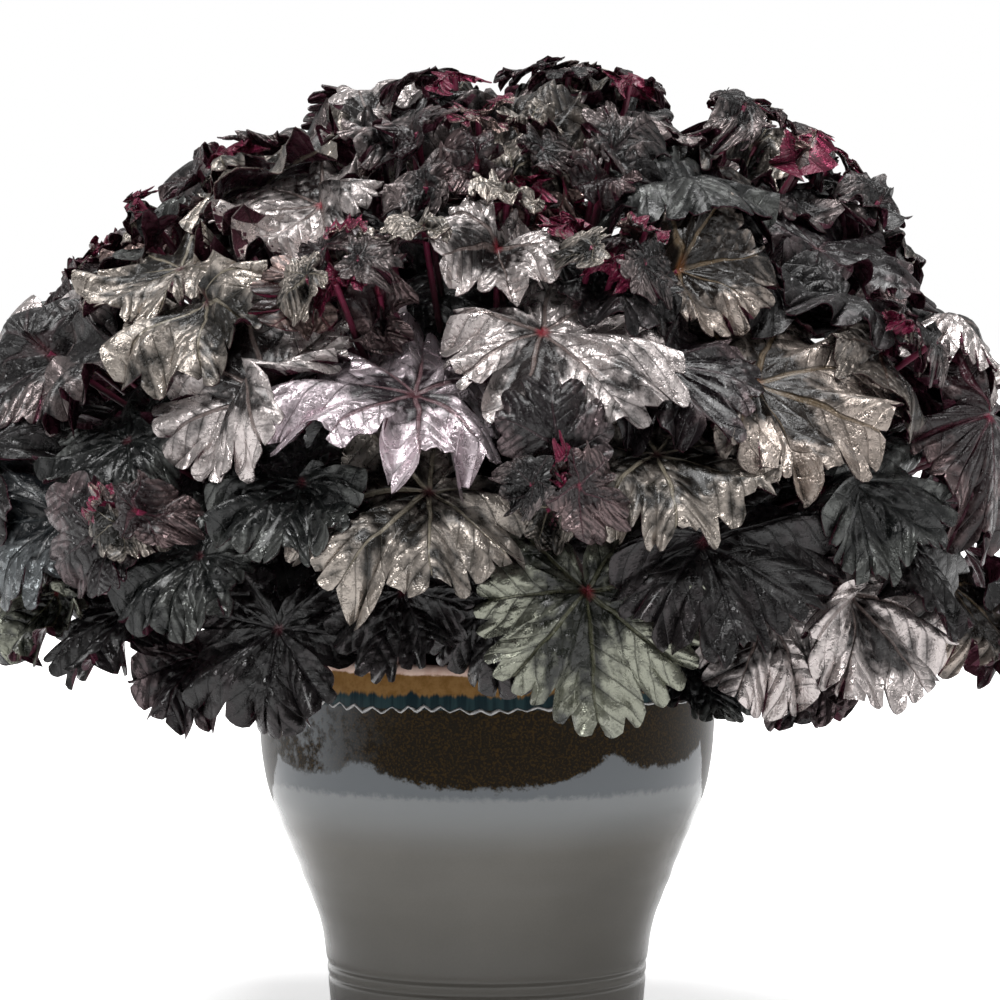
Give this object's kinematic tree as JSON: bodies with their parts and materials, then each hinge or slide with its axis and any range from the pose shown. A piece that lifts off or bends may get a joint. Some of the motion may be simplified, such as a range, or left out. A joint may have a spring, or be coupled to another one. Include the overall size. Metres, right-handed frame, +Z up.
{
  "type": "potted heuchera plant",
  "caption": "Dark-leaved heuchera: a wide dome of ruffled, lobed leaves on fanning stalks, growing in a round glazed pot with a tapered foot.",
  "frame": {"origin": "middle of the pot's flat base, where it rests", "axes": "+Z up through the middle of the pot; the plant's showiest side faces -Y"},
  "size_m": [0.5101, 0.5145, 0.4749],
  "materials": {
    "pot_glaze": "glossy two-tone glaze, dark olive brown above grey",
    "soil": "rough, dark peat-like crumbs",
    "leaf": "semi-gloss, near-black plum with a silver sheen"
  },
  "bodies": {
    "root": {"pot": "pot_glaze", "soil": "soil", "rosette_01": "leaf", "rosette_02": "leaf", "rosette_03": "leaf", "rosette_04": "leaf", "rosette_05": "leaf", "rosette_06": "leaf", "rosette_07": "leaf", "rosette_08": "leaf", "rosette_09": "leaf", "rosette_10": "leaf", "rosette_11": "leaf", "rosette_12": "leaf", "rosette_13": "leaf", "rosette_14": "leaf"}
  },
  "joints": []
}
